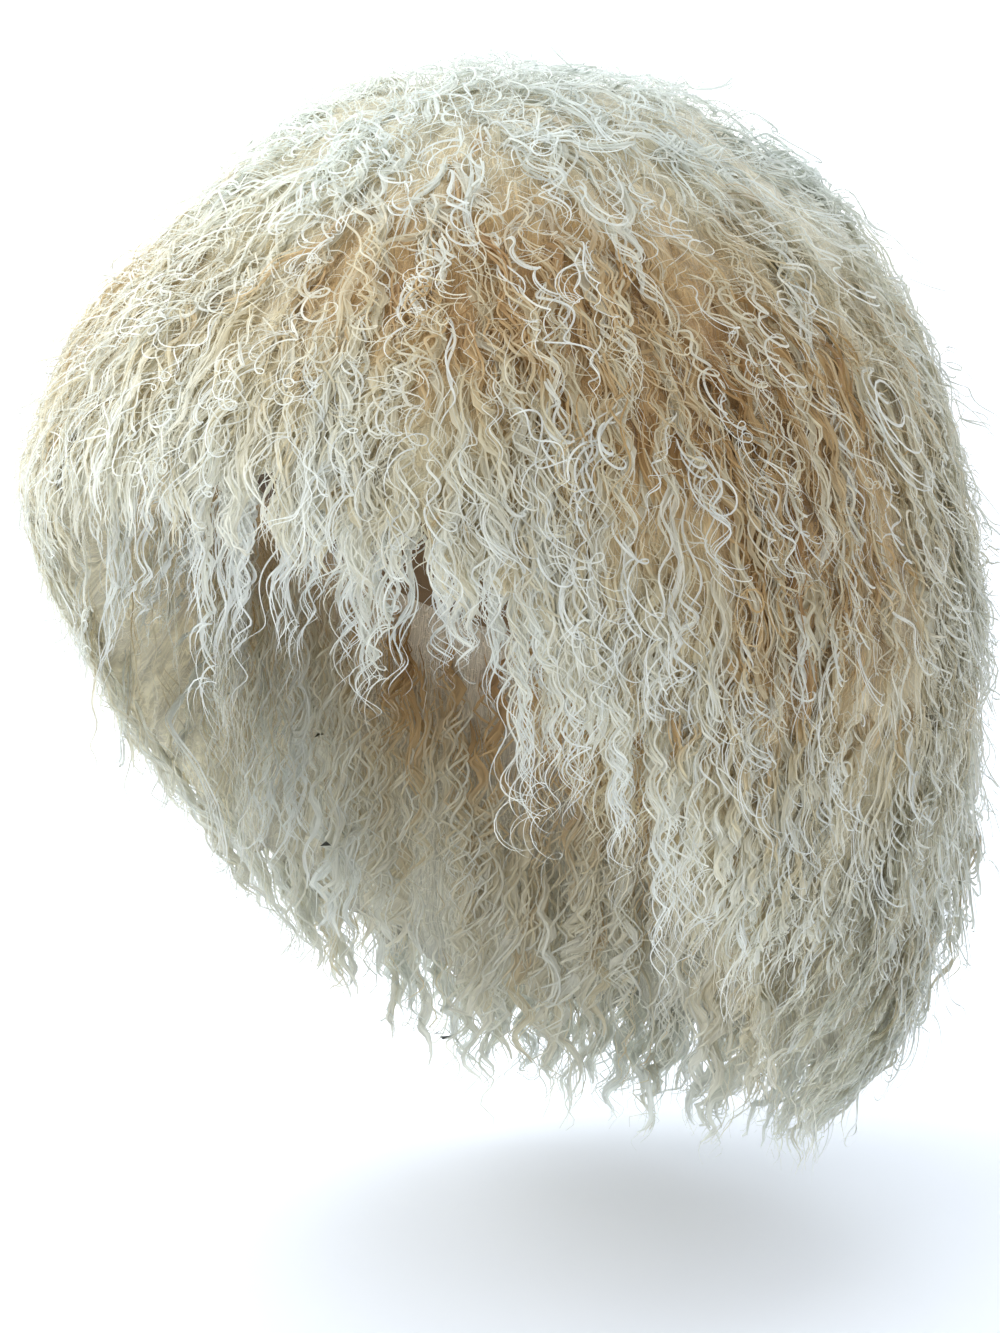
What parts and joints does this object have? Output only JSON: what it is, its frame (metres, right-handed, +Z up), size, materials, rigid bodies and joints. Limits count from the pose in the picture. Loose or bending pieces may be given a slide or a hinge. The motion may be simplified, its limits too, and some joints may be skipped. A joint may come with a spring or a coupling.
{
  "type": "papakha",
  "caption": "Shaggy sheepskin hat of long curly cream wool, short at the brow and hanging low over the nape, worn on a head.",
  "frame": {"origin": "middle of the crown's underside, where the top of the head bears", "axes": "+Z up as worn, -Y towards the face, +X towards the wearer's left"},
  "size_m": [0.3458, 0.3599, 0.4299],
  "materials": {
    "hide": "tanned sheepskin, the suede flesh side, matt",
    "wool": "undyed long curly sheep's wool, cream, soft sheen"
  },
  "bodies": {
    "root": {"crown_hide": "hide", "band_hide": "hide", "crown_wool": "wool", "band_wool": "wool"}
  },
  "joints": []
}
